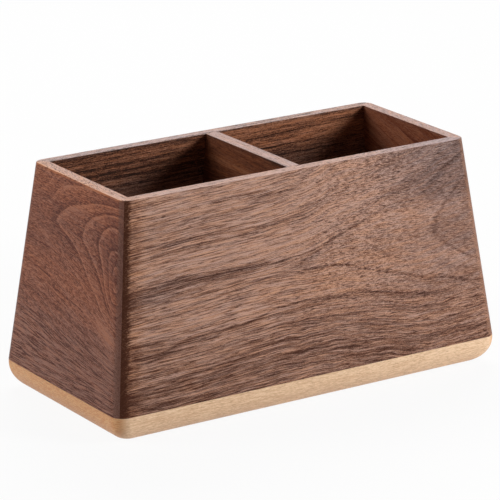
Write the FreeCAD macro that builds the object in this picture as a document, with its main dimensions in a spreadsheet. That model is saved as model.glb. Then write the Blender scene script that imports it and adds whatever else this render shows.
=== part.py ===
import FreeCAD, Part
import os
import re

import Sketcher

# Pen stand: four splayed boards, mitred at the corners over loose tongues, stand round
# a housed divider on a pale base plate whose lower edge is rounded over.
# Millimetres, +Z up. The origin is the middle of the underside, +X runs along the
# length and -Y is the front.

# The driving sizes: name, value and meaning. Angles are in degrees.
SIZES = (
    ("foot_length", 214, "outside length of the walls where they meet the base"),
    ("foot_depth", 106.5, "outside depth of the walls where they meet the base"),
    ("body_height", 98, "height of the walls above the base"),
    ("splay_angle", 7, "lean of every wall towards the middle, from upright"),
    ("wall", 6, "thickness of the four wall boards"),
    ("foot_round", 7, "corner radius of the outline at the foot of the walls"),
    ("rim_round", 5, "corner radius of the outline at the rim"),
    ("rim_ease", 0.5, "radius that eases the outer edge of the rim"),
    ("divider_thickness", 7, "thickness of the divider"),
    ("divider_shift", 0.5, "distance of the divider from the middle, towards +X"),
    ("housing_depth", 2, "depth of the divider's housings, measured level"),
    ("housing_stop", 12, "height of plain wall left between a housing and the rim"),
    ("glue_gap", 0.1, "room for glue round a tongue and round the divider's ends"),
    ("tongue_thickness", 2, "thickness of the loose tongue in each mitre"),
    ("tongue_bite", 3, "how far a tongue reaches into each board"),
    ("tongue_inset", 2.6, "from the inner corner to the middle of the tongue"),
    ("tongue_stop", 9, "height of plain mitre left above and below a tongue"),
    ("base_thickness", 14, "thickness of the base plate under the walls"),
    ("base_round", 12.5, "radius of the rounding under the base plate's edge"),
    ("under_round", 2.5, "corner radius of the base plate's flat underside"),
    ("land_height", 3, "height of the raised land that the walls stand round"),
    ("land_gap", 0.2, "room between the land and the walls"),
    ("screw_length", 32, "length of the two screws that hold the divider"),
    ("screw_diameter", 3, "shank diameter of a screw"),
    ("screw_point", 3.5, "length of a screw's point"),
    ("head_diameter", 5.8, "diameter of a screw's countersunk head"),
    ("head_sink", 0.4, "how deep a head lies below the underside"),
    ("hole_gap", 0.1, "room round a screw's shank"),
    ("screw_spacing", 52, "distance between the two screws"),
    ("overrun", 5, "how far a cutting shape runs past what it cuts"),
)

# Sizes that follow from the driving ones.
DERIVED = {
    "lean": "body_height * tan(splay_angle)",
    "level_wall": "wall / cos(splay_angle)",
    "rim_level": "base_thickness + body_height",
    "land_level": "base_thickness + land_height",
    "corner_lean": "atan(sqrt(2) * tan(splay_angle))",
    "tongue_length": "(body_height - 2 * tongue_stop) / cos(corner_lean)",
    "tongue_out": "tongue_inset / sqrt(2) - level_wall - tongue_stop * tan(splay_angle)",
    "housing_level": "rim_level - housing_stop",
    "inner_half_foot": "foot_depth / 2 - level_wall",
    "inner_half_rim": "inner_half_foot - lean",
}

# Shares of the quarter turn at which the base plate's rounding has a section.
ROUNDING_SHARES = (0, 0.07, 0.2, 0.36, 0.52, 0.68, 0.84, 1)

document = FreeCAD.newDocument("PenStand")
sheet = document.addObject("Spreadsheet::Sheet", "Sizes")
for row, (alias, value, meaning) in enumerate(SIZES, 1):
    sheet.set(f"A{row}", meaning)
    sheet.set(f"B{row}", str(value))
    sheet.setAlias(f"B{row}", alias)
document.recompute()

ALIASES = {alias for alias, value, meaning in SIZES}


def sized(formula):
    """Write a formula in the sheet's cells, with the derived sizes spelled out."""

    def spell(match):
        word = match.group()
        if word in DERIVED:
            return f"({sized(DERIVED[word])})"
        return f"Sizes.{word}" if word in ALIASES else word

    return re.sub(r"[a-z_]+", spell, formula)


def value_of(formula):
    """Work a formula out, for the first place of a sketch's points."""
    result = sheet.evalExpression(sized(formula))
    return float(getattr(result, "Value", result))


def bind(thing, settings):
    """Tie properties of an object to formulas."""
    for name, formula in settings.items():
        thing.setExpression(name, sized(formula))


def new_body(label):
    """Start a sub-part; its label is the name of its file."""
    body = document.addObject("PartDesign::Body", label)
    body.Label = label
    return body


def plane_of(body, role):
    """Find one of a body's own origin planes."""
    return next(item for item in body.Origin.OriginFeatures if item.Role == role)


def new_sketch(body, name, plane, offset=None):
    """Start a sketch on one of the body's planes, moved off it by a placement formula."""
    sketch = body.newObject("Sketcher::SketchObject", name)
    sketch.AttachmentSupport = [(plane_of(body, plane), "")]
    sketch.MapMode = "FlatFace"
    if offset:
        bind(sketch, {"AttachmentOffset": offset})
    return sketch


def raised(height):
    """Give the placement formula that lifts a level sketch to a height."""
    return f"placement(vector(0; 0; {height}); rotation(0; 0; 0))"


def fix(sketch, kind, name, formula, *where):
    """Add a dimension to a sketch and tie it to a formula."""
    constraint = Sketcher.Constraint(kind, *where, value_of(formula))
    sketch.renameConstraint(sketch.addConstraint(constraint), name)
    bind(sketch, {f"Constraints.{name}": formula})


def fix_point(sketch, name, element, end, across, up):
    """Fix one end or centre of a sketch element by its two formulas."""
    fix(sketch, "DistanceX", f"{name}_x", across, -1, 1, element, end)
    fix(sketch, "DistanceY", f"{name}_y", up, -1, 1, element, end)


def draw_outline(sketch, corners, arc_centre=None):
    """Draw a closed outline through corner formulas.

    With a centre given, the last side is an arc about it, drawn anticlockwise.
    """
    places = [FreeCAD.Vector(value_of(x), value_of(y), 0) for x, y in corners]
    last = len(places) - 1
    for number, place in enumerate(places):
        following = places[(number + 1) % len(places)]
        if arc_centre and number == last:
            centre = FreeCAD.Vector(*(value_of(part) for part in arc_centre), 0)
            outwards = ((place + following) / 2 - centre).normalize()
            middle = centre + outwards * (place - centre).Length
            sketch.addGeometry(Part.Arc(place, middle, following))
        else:
            sketch.addGeometry(Part.LineSegment(place, following))
    for number, (x, y) in enumerate(corners):
        before = (number - 1) % len(corners)
        sketch.addConstraint(Sketcher.Constraint("Coincident", before, 2, number, 1))
        fix_point(sketch, f"corner{number}", number, 1, x, y)
    if arc_centre:
        fix(sketch, "DistanceX", "centre_x", arc_centre[0], -1, 1, last, 3)


def draw_rounded_rectangle(sketch, half_length, half_depth, radius):
    """Draw a rectangle about the sketch's origin with its four corners rounded."""
    a, b, r = value_of(half_length), value_of(half_depth), value_of(radius)
    sides = (((r - a, -b), (a - r, -b)), ((a, r - b), (a, b - r)),
             ((a - r, b), (r - a, b)), ((-a, b - r), (-a, r - b)))
    centres = ((a - r, r - b), (a - r, b - r), (r - a, b - r), (r - a, r - b))
    for start, end in sides:
        sketch.addGeometry(
            Part.LineSegment(FreeCAD.Vector(*start, 0), FreeCAD.Vector(*end, 0)))
    diagonal = r / 2 ** 0.5
    for corner, (x, y) in enumerate(centres):
        start = FreeCAD.Vector(*sides[corner][1], 0)
        end = FreeCAD.Vector(*sides[(corner + 1) % 4][0], 0)
        out_x = diagonal if x > 0 else -diagonal
        out_y = diagonal if y > 0 else -diagonal
        sketch.addGeometry(Part.Arc(start, FreeCAD.Vector(x + out_x, y + out_y, 0), end))
    for side in range(4):
        arc = side + 4
        sketch.addConstraint(Sketcher.Constraint("Tangent", side, 2, arc, 1))
        sketch.addConstraint(Sketcher.Constraint("Tangent", arc, 2, (side + 1) % 4, 1))
        direction = "Vertical" if side % 2 else "Horizontal"
        sketch.addConstraint(Sketcher.Constraint(direction, side))
    for arc in (5, 6, 7):
        sketch.addConstraint(Sketcher.Constraint("Equal", 4, arc))
    fix(sketch, "Radius", "corner", radius, 4)
    fix(sketch, "DistanceY", "front", f"-({half_depth})", -1, 1, 0, 1)
    fix(sketch, "DistanceX", "right", half_length, -1, 1, 1, 1)
    fix(sketch, "DistanceY", "back", half_depth, -1, 1, 2, 1)
    fix(sketch, "DistanceX", "left", f"-({half_length})", -1, 1, 3, 1)


def extrude(body, kind, name, sketch, length, side="One side", backwards=False, behind=None):
    """Pad or pocket a sketch by a length formula, and by a second one behind it."""
    feature = body.newObject(f"PartDesign::{kind}", name)
    feature.Profile = sketch
    feature.SideType = "Two sides" if behind else side
    feature.Reversed = backwards
    bind(feature, {"Length": length})
    if behind:
        bind(feature, {"Length2": behind})
    return feature


def loft(body, kind, name, sketches, ruled):
    """Loft through a row of sketches."""
    feature = body.newObject(f"PartDesign::{kind}", name)
    feature.Profile = sketches[0]
    feature.Sections = sketches[1:]
    feature.Ruled = ruled
    return feature


def corner_round(body, half_run, reach):
    """Cut the sharp outer edge of the board's left end back to the tapering corner radius."""
    levels = (
        ("foot", "base_thickness", half_run, reach, "foot_round"),
        ("rim", "rim_level", f"{half_run} - lean", f"{reach} - lean", "rim_round"),
    )
    sketches = []
    for name, height, out_x, out_y, radius in levels:
        sketch = new_sketch(body, f"round_at_{name}", "XY_Plane", raised(height))
        left, front = f"-({out_x})", f"-({out_y})"
        draw_outline(
            sketch,
            [
                (f"{left} + {radius}", front),
                (f"{left} + {radius}", f"{front} - overrun"),
                (f"{left} - overrun", f"{front} - overrun"),
                (f"{left} - overrun", f"{front} + {radius}"),
                (left, f"{front} + {radius}"),
            ],
            arc_centre=(f"{left} + {radius}", f"{front} + {radius}"),
        )
        sketches.append(sketch)
    return loft(body, "SubtractiveLoft", "corner_round", sketches, ruled=True)


def tongue_place(across, back, turn):
    """Give the placement formula of a tongue's lower end, tilted along its mitre."""
    spot = f"vector({across}; {back}; base_thickness + tongue_stop)"
    return f"placement({spot}; rotation({turn}; 0; -corner_lean))"


def draw_centred_rectangle(sketch, width, depth):
    """Draw a rectangle whose middle is the sketch's origin."""
    x, y = f"({width}) / 2", f"({depth}) / 2"
    draw_outline(sketch, [(f"-{x}", f"-{y}"), (x, f"-{y}"), (x, y), (f"-{x}", y)])


def wall_board(label, run, reach, turn, housing_at=None):
    """Make one wall, drawn as a front wall and then turned to its side of the stand."""
    body = new_body(label)
    half_run = f"{run} / 2"
    profile = new_sketch(body, "board_section", "YZ_Plane")
    draw_outline(profile, [
        (f"-({reach})", "base_thickness"),
        (f"-({reach}) + level_wall", "base_thickness"),
        (f"-({reach}) + lean + level_wall", "rim_level"),
        (f"-({reach}) + lean", "rim_level"),
    ])
    extrude(body, "Pad", "board", profile, run, side="Symmetric")

    past = "lean + level_wall + overrun"
    mitre_line = new_sketch(body, "mitre_line", "XY_Plane")
    draw_outline(mitre_line, [
        (f"-({half_run}) - overrun", f"-({reach}) - overrun"),
        (f"-({half_run}) + {past}", f"-({reach}) + {past}"),
        (f"-({half_run}) - overrun", f"-({reach}) + {past}"),
    ])
    mitre = extrude(body, "Pocket", "mitre", mitre_line, "rim_level + overrun", backwards=True)

    rounding = corner_round(body, half_run, reach)

    groove_section = new_sketch(
        body, "groove_section", "XY_Plane",
        tongue_place(f"-({half_run}) - tongue_out", f"-({reach}) - tongue_out", -45))
    draw_centred_rectangle(
        groove_section, "2 * (tongue_bite + glue_gap)", "tongue_thickness + 2 * glue_gap")
    groove = extrude(body, "Pocket", "tongue_groove", groove_section,
                     "tongue_length + glue_gap", backwards=True, behind="glue_gap")

    other_end = body.newObject("PartDesign::Mirrored", "other_end")
    other_end.Originals = [mitre, rounding, groove]
    other_end.MirrorPlane = (plane_of(body, "YZ_Plane"), [""])
    body.Tip = other_end

    if housing_at:
        inner = f"-({reach}) + level_wall"
        housing_section = new_sketch(
            body, "housing_section", "YZ_Plane", raised(housing_at))
        draw_outline(housing_section, [
            (f"{inner} - housing_depth - overrun * tan(splay_angle)",
             "base_thickness - overrun"),
            (f"{inner} - housing_depth + (body_height - housing_stop) * tan(splay_angle)",
             "housing_level"),
            (f"{inner} + lean + overrun", "housing_level"),
            (f"{inner} + lean + overrun", "base_thickness - overrun"),
        ])
        extrude(body, "Pocket", "divider_housing", housing_section,
                "divider_thickness + 2 * glue_gap", side="Symmetric")

    document.recompute()
    ease_rim(body, value_of(f"-({reach}) + lean"))
    bind(body, {"Placement": f"placement(vector(0; 0; 0); rotation({turn}; 0; 0))"})
    return body


def ease_rim(body, outer_face):
    """Ease the rim's outer edge: its long side and the two rounded corners."""
    board = body.Tip
    rim, corner = value_of("rim_level"), value_of("rim_round")
    near = value_of("rim_ease / 1000")
    names = []
    for number, edge in enumerate(board.Shape.Edges, 1):
        box = edge.BoundBox
        on_rim = abs(box.ZMin - rim) < near and abs(box.ZMax - rim) < near
        along_front = box.YMax < outer_face + near
        round_corner = edge.Curve.TypeId != "Part::GeomLine" and box.YMax < outer_face + corner
        if on_rim and (along_front or round_corner):
            names.append(f"Edge{number}")
    ease = body.newObject("PartDesign::Fillet", "rim_ease")
    ease.Base = (board, names)
    bind(ease, {"Radius": "rim_ease"})
    body.Tip = ease


def divider():
    """Make the divider: its ends step out into the housings and stop short of the rim."""
    body = new_body("divider")
    step = "housing_level - glue_gap"
    in_land = "inner_half_foot - land_height * tan(splay_angle)"
    in_step = "inner_half_foot - (body_height - housing_stop - glue_gap) * tan(splay_angle)"
    right_side = [
        (f"{in_land} + housing_depth - glue_gap", "land_level"),
        (f"{in_step} + housing_depth - glue_gap", step),
        (in_step, step),
        ("inner_half_rim", "rim_level"),
    ]
    left_side = [(f"-({x})", z) for x, z in reversed(right_side)]
    section = new_sketch(body, "divider_section", "YZ_Plane")
    draw_outline(section, right_side + left_side)
    extrude(body, "Pad", "board", section, "divider_thickness", side="Symmetric")

    spots = new_sketch(body, "pilot_spots", "XY_Plane", raised("land_level"))
    draw_screw_spots(spots, "screw_diameter / 2 + hole_gap")
    extrude(body, "Pocket", "pilot_holes", spots,
            "head_sink + screw_length - land_level + hole_gap", backwards=True)
    bind(body, {"Placement": "placement(vector(divider_shift; 0; 0); rotation(0; 0; 0))"})
    return body


def draw_screw_spots(sketch, radius):
    """Draw the circles of the two screws, before and behind the middle."""
    for number, side in enumerate(("-", "")):
        spot = FreeCAD.Vector(0, value_of(f"{side}screw_spacing / 2"), 0)
        sketch.addGeometry(Part.Circle(spot, FreeCAD.Vector(0, 0, 1), value_of(radius)))
        fix(sketch, "Radius", f"radius{number}", radius, number)
        sketch.addConstraint(Sketcher.Constraint("PointOnObject", number, 3, -2))
        fix(sketch, "DistanceY", f"spot{number}", f"{side}screw_spacing / 2",
            -1, 1, number, 3)


def base_plate():
    """Make the base plate: rounded underneath, with a raised land for the walls on top."""
    body = new_body("base_plate")
    half_length, half_depth = "foot_length / 2", "foot_depth / 2"

    upper = new_sketch(body, "upper_outline", "XY_Plane", raised("base_round"))
    draw_rounded_rectangle(upper, half_length, half_depth, "foot_round")
    extrude(body, "Pad", "upright_edge", upper, "base_thickness - base_round")

    sections = []
    for number, share in enumerate(ROUNDING_SHARES):
        turned = f"90 * {share}"
        inset = f"base_round * (1 - cos({turned}))"
        corner = f"foot_round - (foot_round - under_round) * (1 - cos({turned}))"
        height = f"base_round * (1 - sin({turned}))"
        section = new_sketch(body, f"rounding_section{number}", "XY_Plane", raised(height))
        draw_rounded_rectangle(
            section, f"{half_length} - {inset}", f"{half_depth} - {inset}", corner)
        sections.append(section)
    loft(body, "AdditiveLoft", "rounding", sections, ruled=False)

    land = new_sketch(body, "land_outline", "XY_Plane", raised("base_thickness"))
    draw_centred_rectangle(
        land, "foot_length - 2 * (level_wall + land_gap)",
        "foot_depth - 2 * (level_wall + land_gap)")
    raised_land = extrude(body, "Pad", "land", land, "land_height")
    bind(raised_land, {"TaperAngle": "-splay_angle"})
    document.recompute()

    spots = new_sketch(
        body, "screw_spots", "XY_Plane",
        "placement(vector(divider_shift; 0; 0); rotation(0; 0; 0))")
    draw_screw_spots(spots, "screw_diameter / 2 + hole_gap")
    document.recompute()
    holes = body.newObject("PartDesign::Hole", "screw_holes")
    holes.Profile = spots
    holes.Reversed = True
    holes.DepthType = "ThroughAll"
    holes.HoleCutType = "Countersink"
    holes.HoleCutCustomValues = True
    holes.HoleCutCountersinkAngle = 90
    bind(holes, {
        "Diameter": "screw_diameter + 2 * hole_gap",
        "HoleCutDiameter": "head_diameter + 2 * (head_sink + hole_gap)",
    })
    return body


def base_screws():
    """Make the two countersunk screws that draw the divider down on the base."""
    body = new_body("base_screws")
    body.AllowCompound = True
    head, shank = "head_diameter / 2", "screw_diameter / 2"
    profile = new_sketch(
        body, "screw_section", "YZ_Plane",
        "placement(vector(-screw_spacing / 2; 0; divider_shift); rotation(0; 0; 0))")
    draw_outline(profile, [
        ("0", "head_sink"),
        (head, "head_sink"),
        (shank, f"head_sink + {head} - {shank}"),
        (shank, "head_sink + screw_length - screw_point"),
        ("0", "head_sink + screw_length"),
    ])
    turned = body.newObject("PartDesign::Revolution", "screw")
    turned.Profile = profile
    turned.ReferenceAxis = (profile, ["V_Axis"])
    other = body.newObject("PartDesign::Mirrored", "other_screw")
    other.Originals = [turned]
    other.MirrorPlane = (plane_of(body, "XZ_Plane"), [""])
    body.Tip = other
    return body


def mitre_tongue(label, side, end, turn):
    """Make the loose tongue of one mitre; side and end are the signs of its corner."""
    body = new_body(label)
    section = new_sketch(body, "tongue_section", "XY_Plane")
    draw_centred_rectangle(section, "2 * tongue_bite", "tongue_thickness")
    extrude(body, "Pad", "tongue", section, "tongue_length")
    across = f"{side}(foot_length / 2 + tongue_out)"
    back = f"{end}(foot_depth / 2 + tongue_out)"
    bind(body, {"Placement": tongue_place(across, back, turn)})
    return body


def check(parts):
    """Stop if anything failed to compute, a cut removed nothing or a solid is unsound."""
    for item in document.Objects:
        if {"Invalid", "Error"} & set(item.State):
            raise RuntimeError(f"{item.Label} is in the state {item.State}")
        cut = item.TypeId.endswith(("Pocket", "Hole", "SubtractiveLoft"))
        if cut and item.Shape.Volume >= item.BaseFeature.Shape.Volume:
            raise RuntimeError(f"{item.Label} cuts nothing")
    for part in parts:
        if part.Shape.isNull() or not part.Shape.isValid() or not part.Shape.Solids:
            raise RuntimeError(f"{part.Label} is not a sound solid")


parts = [
    base_plate(),
    wall_board("front_wall", "foot_length", "foot_depth / 2", 0, housing_at="divider_shift"),
    wall_board("right_end_wall", "foot_depth", "foot_length / 2", 90),
    wall_board("back_wall", "foot_length", "foot_depth / 2", 180, housing_at="-divider_shift"),
    wall_board("left_end_wall", "foot_depth", "foot_length / 2", -90),
    divider(),
    mitre_tongue("tongue_front_left", "-", "-", -45),
    mitre_tongue("tongue_front_right", "", "-", 45),
    mitre_tongue("tongue_back_right", "", "", 135),
    mitre_tongue("tongue_back_left", "-", "", -135),
    base_screws(),
]
document.recompute()
check(parts)

os.makedirs("parts", exist_ok=True)
for part in parts:
    part.Shape.exportStep(f"parts/{part.Label}.step")
    print(part.Label, len(part.Shape.Solids), round(part.Shape.Volume), part.Shape.BoundBox)
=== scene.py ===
"""Pen stand: four splayed, mitred walnut boards round a divider, on a rounded beech plate.

Metres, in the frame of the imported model: +Z up, the front faces -Y, the desk is at zero.
"""

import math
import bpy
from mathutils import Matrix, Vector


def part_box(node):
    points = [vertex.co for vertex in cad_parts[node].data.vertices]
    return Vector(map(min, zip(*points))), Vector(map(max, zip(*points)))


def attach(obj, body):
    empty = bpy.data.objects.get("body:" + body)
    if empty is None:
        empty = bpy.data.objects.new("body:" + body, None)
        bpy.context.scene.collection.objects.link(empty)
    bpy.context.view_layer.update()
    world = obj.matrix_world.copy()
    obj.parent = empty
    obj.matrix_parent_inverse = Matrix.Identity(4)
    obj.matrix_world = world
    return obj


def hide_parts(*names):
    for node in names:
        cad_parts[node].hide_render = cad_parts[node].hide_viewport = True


bl_info = {
    "name": "Pen stand",
    "version": (1, 0, 0),
    "blender": (4, 5, 0),
    "location": "3D View > Sidebar > Pen stand",
    "description": "Builds a splayed two-compartment pen stand of walnut on a beech base",
    "category": "Add Mesh",
}

import bmesh
import bpy
from bpy.props import FloatProperty, FloatVectorProperty, PointerProperty
from bpy.types import Operator, Panel, PropertyGroup
from mathutils import Matrix, Vector

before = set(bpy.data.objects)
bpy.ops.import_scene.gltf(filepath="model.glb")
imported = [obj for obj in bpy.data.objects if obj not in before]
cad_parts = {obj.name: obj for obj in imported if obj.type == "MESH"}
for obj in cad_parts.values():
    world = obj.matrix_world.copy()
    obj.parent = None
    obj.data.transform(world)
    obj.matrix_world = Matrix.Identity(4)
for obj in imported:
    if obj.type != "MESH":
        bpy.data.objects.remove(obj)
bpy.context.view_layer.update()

BODY = "root"
MILLIMETRES = 1000  # In a metre.
PHOTO_WIDTH = 500  # Pixels.

BASE_LOW, BASE_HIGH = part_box("base_plate")
WALL_LOW, WALL_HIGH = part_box("front_wall")
DIVIDER_LOW, DIVIDER_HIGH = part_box("divider")


# Sizes and colours.


def linear(code):
    """Turn a six-digit colour code into the linear red, green and blue of a shader."""
    shares = [int(code[i:i + 2], 16) / 255 for i in (0, 2, 4)]
    return [s / 12.92 if s <= 0.04045 else ((s + 0.055) / 1.055) ** 2.4 for s in shares]


def length(name, description, default):
    """Declare a length in metres."""
    return FloatProperty(name=name, description=description, default=default,
                         unit="LENGTH", precision=5)


def angle(name, description, degrees):
    """Declare an angle."""
    return FloatProperty(name=name, description=description,
                         default=math.radians(degrees), subtype="ANGLE")


def colour(name, description, code):
    """Declare a colour by its six-digit code."""
    return FloatVectorProperty(name=name, description=description, default=linear(code),
                               size=3, min=0, max=1, subtype="COLOR")


def power(name, description, default):
    """Declare a lamp's power in watts."""
    return FloatProperty(name=name, description=description, default=default,
                         min=0, unit="POWER")


class StandSizes(PropertyGroup):
    """The stand's sizes."""

    foot_length: length(
        "Foot length", "Outside length of the walls at the base", BASE_HIGH.x - BASE_LOW.x)
    foot_depth: length(
        "Foot depth", "Outside depth of the walls at the base", BASE_HIGH.y - BASE_LOW.y)
    base_top: length("Base top", "Height of the base plate under the walls", WALL_LOW.z)
    rim_level: length("Rim level", "Height of the rim above the desk", WALL_HIGH.z)
    splay: angle("Splay", "Lean of every wall towards the middle", 7)
    wall: length("Wall", "Thickness of the wall boards", 0.006)
    foot_round: length("Foot rounding", "Corner radius at the foot of the walls", 0.007)
    rim_round: length("Rim rounding", "Corner radius at the rim", 0.005)
    rim_ease: length("Rim ease", "Radius on the rim's outer edge", 0.0005)
    inner_ease: length("Inner ease", "Radius on the rim's inner edge", 0.00025)
    seam_ease: length("Seam ease", "Chamfer on both sides of the seam at the base", 0.00022)
    divider: length(
        "Divider", "Thickness of the divider", DIVIDER_HIGH.x - DIVIDER_LOW.x)
    divider_shift: length(
        "Divider shift", "Distance of the divider from the middle",
        (DIVIDER_HIGH.x + DIVIDER_LOW.x) / 2)
    housing_depth: length("Housing depth", "Depth of the divider's housings", 0.002)
    housing_stop: length("Housing stop", "Plain wall above a housing", 0.012)
    glue_gap: length("Glue gap", "Room for glue in the joints", 0.0001)
    tongue: length("Tongue", "Thickness of the loose tongues", 0.002)
    tongue_bite: length("Tongue bite", "Reach of a tongue into each board", 0.003)
    tongue_inset: length("Tongue inset", "From the inner corner to the tongue", 0.0026)
    tongue_stop: length("Tongue stop", "Plain mitre above and below a tongue", 0.009)
    base_round: length("Base rounding", "Radius under the base plate's edge", 0.0125)
    under_round: length("Under rounding", "Corner radius of the flat underside", 0.0025)
    land_level: length("Land level", "Top of the raised land between the walls", BASE_HIGH.z)
    land_gap: length("Land gap", "Room between the land and the walls", 0.0002)
    screw_length: length("Screw length", "Length of the base screws", 0.032)
    screw_shank: length("Screw shank", "Shank diameter of a screw", 0.003)
    screw_point: length("Screw point", "Length of a screw's point", 0.0035)
    screw_head: length("Screw head", "Head diameter of a screw", 0.0058)
    head_sink: length("Head sink", "Depth of a head below the underside", 0.0004)
    hole_gap: length("Hole gap", "Room round a screw's shank", 0.0001)
    screw_spacing: length("Screw spacing", "Distance between the two screws", 0.052)


class WoodLook(PropertyGroup):
    """Colours of the walnut, the beech and what is hidden in them."""

    front_pale: colour("Front pale", "Light streaks of the front board", "B28B77")
    front_middle: colour("Front middle", "Ground colour of the front board", "7C5949")
    front_deep: colour("Front deep", "Dark streaks of the front board", "3C1C0E")
    end_pale: colour("End pale", "Light streaks of the end boards", "94624C")
    end_middle: colour("End middle", "Ground colour of the end boards", "703E2D")
    end_deep: colour("End deep", "Dark streaks of the end boards", "4A2317")
    back_pale: colour("Back pale", "Light streaks of the back board", "A8755A")
    back_middle: colour("Back middle", "Ground colour of the back board", "744936")
    back_deep: colour("Back deep", "Dark streaks of the back board", "2B1C16")
    divider_pale: colour("Divider pale", "Light streaks of the divider", "8A5A40")
    divider_middle: colour("Divider middle", "Ground colour of the divider", "643A29")
    divider_deep: colour("Divider deep", "Dark streaks of the divider", "3A2015")
    # The rims' colours are paler and greyer than the walls': a painted sheen on faces that look
    # up.
    rim_sheen_pale: colour("Rim pale", "Light streaks of the rims", "C99F8D")
    rim_sheen_middle: colour("Rim middle", "Ground colour of the rims", "AB8373")
    end_grain: colour("Walnut end grain", "Walnut where the fibres are cut across", "3E1F11")
    # Cut end grain, painted lighter and warmer as if lit by the lamp at the right.
    end_grain_painted_lit: colour(
        "Warm edge", "Front board's right edge, where its fibres are cut across", "96694D")
    # Cut end grain, greyed as a painted sheen of the lamp at the left.
    end_grain_painted_sheen: colour(
        "Grey edge", "Left board's front edge, where its fibres are cut across", "705248")
    beech_pale: colour("Beech pale", "Light ground of the beech", "E4C4A2")
    beech_middle: colour("Beech middle", "Darker ground of the beech", "CBA582")
    # Also the thin darker line along the lowest edge: a painted contact shadow.
    beech_fleck_and_shadow: colour("Beech fleck", "Fine flecks of the beech", "A0744F")
    beech_pink: colour(
        "Beech pink", "Paler part of the beech where the fibres are cut across", "D09C67")
    beech_end: colour("Beech end grain", "Beech where the fibres are cut across", "BE793D")
    ply_pale: colour("Ply pale", "Pale layers of the tongues", "CDAF84")
    ply_deep: colour("Ply deep", "Dark layers of the tongues", "8E6A45")
    steel: colour("Screw", "Zinc plated steel of the screws", "B9B8B4")


class StageLook(PropertyGroup):
    """Camera and light."""

    azimuth: angle("Azimuth", "Side that the camera stands on, from the front", -32.860)
    elevation: angle("Elevation", "Height of the camera above the level", 17.414)
    roll: angle("Roll", "Turn of the camera about its own line of sight", -0.445)
    distance: length("Distance", "From the camera to the point it looks at", 1.59325)
    aim: FloatVectorProperty(
        name="Aim", description="Point that the camera looks at", size=3,
        default=(-0.002168, -0.001689, 0.063), unit="LENGTH", precision=6)
    focal: FloatProperty(
        name="Focal length", description="Focal length in pixels of the photograph",
        default=3355.37, min=1, subtype="PIXEL")
    lamp_right: power("Right lamp", "Power of the soft lamp in front at the right", 8.95)
    lamp_left: power("Left lamp", "Power of the soft lamp at the left", 9.2)
    lamp_back: power("Back lamp", "Power of the soft lamp high behind", 11.5)
    room: FloatProperty(
        name="Room light", description="Strength of the light that comes from all round",
        default=0.07, min=0, max=1, subtype="FACTOR")
    floor: colour("Floor", "Colour of the floor", "EDEDED")


# The property groups, by the name under which the scene holds them.
GROUPS = {"pen_stand_sizes": StandSizes, "pen_stand_wood": WoodLook,
          "pen_stand_stage": StageLook}


# Nodes by arithmetic.


# Noise seldom leaves this range.
NOISE_RANGE = 0.32, 0.68


class Wire:
    """What a node puts out; arithmetic on it adds Math nodes to its tree."""

    def __init__(self, tree, socket):
        self.tree, self.socket = tree, socket

    def maths(self, operation, *others, clamp=False):
        """Add one Math node."""
        node = self.tree.nodes.new("ShaderNodeMath")
        node.operation, node.use_clamp = operation, clamp
        for value, socket in zip((self, *others), node.inputs):
            feed(self.tree, value, socket)
        return Wire(self.tree, node.outputs[0])

    def __add__(self, other):
        return self.maths("ADD", other)

    def __sub__(self, other):
        return self.maths("SUBTRACT", other)

    def __mul__(self, other):
        return self.maths("MULTIPLY", other)

    def __truediv__(self, other):
        return self.maths("DIVIDE", other)

    def __neg__(self):
        return self * -1

    def __rsub__(self, other):
        return -self + other

    def __abs__(self):
        return self.maths("ABSOLUTE")

    __radd__, __rmul__ = __add__, __mul__

    def at_least(self, other):
        """Take the higher of two values."""
        return self.maths("MAXIMUM", other)

    def at_most(self, other):
        """Take the lower of two values."""
        return self.maths("MINIMUM", other)

    def clamped(self):
        """Hold between nought and one."""
        return self.maths("ADD", 0.0, clamp=True)

    def rise(self, low, high):
        """Rise smoothly from nought at one value to one at another, or fall."""
        node = self.tree.nodes.new("ShaderNodeMapRange")
        node.interpolation_type = "SMOOTHSTEP"
        ends = (low, high, 0.0, 1.0) if low < high else (high, low, 1.0, 0.0)
        for value, socket in zip((self, *ends), node.inputs):
            feed(self.tree, value, socket)
        return Wire(self.tree, node.outputs[0])

    def spread(self):
        """Open noise out about nought, to a half each way."""
        return self.rise(*NOISE_RANGE) - 0.5

    def bell(self, middle, width):
        """Stand at one in the middle and fall to nought about a width away."""
        away = (self - middle) / width
        return (-(away * away)).maths("EXPONENT")

    def curve(self, points):
        """Follow a smooth curve through points, level beyond its ends."""
        places = [place for place, value in points]
        values = [value for place, value in points]
        start, run = min(places), max(places) - min(places)
        low, reach = min(values), max(values) - min(values) or 1
        node = self.tree.nodes.new("ShaderNodeFloatCurve")
        line = node.mapping.curves[0]
        while len(line.points) < len(points):
            line.points.new(0.5, 0.5)
        for (place, value), point in zip(points, line.points):
            point.location = ((place - start) / run, (value - low) / reach)
            point.handle_type = "AUTO_CLAMPED"
        node.mapping.update()
        feed(self.tree, ((self - start) / run).clamped(), node.inputs["Value"])
        return Wire(self.tree, node.outputs[0]) * reach + low


def feed(tree, value, socket):
    """Join a socket to a wire, or set it to a plain value."""
    if isinstance(value, Wire):
        tree.links.new(value.socket, socket)
    elif hasattr(socket.default_value, "__len__"):
        socket.default_value = [*value, 1][:len(socket.default_value)]
    else:
        socket.default_value = value


def vector(tree, x, y, z):
    """Join three values to a vector."""
    node = tree.nodes.new("ShaderNodeCombineXYZ")
    for value, socket in zip((x, y, z), node.inputs):
        feed(tree, value, socket)
    return Wire(tree, node.outputs[0])


def split(tree, place):
    """Take a vector apart."""
    node = tree.nodes.new("ShaderNodeSeparateXYZ")
    feed(tree, place, node.inputs[0])
    return [Wire(tree, socket) for socket in node.outputs]


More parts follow.
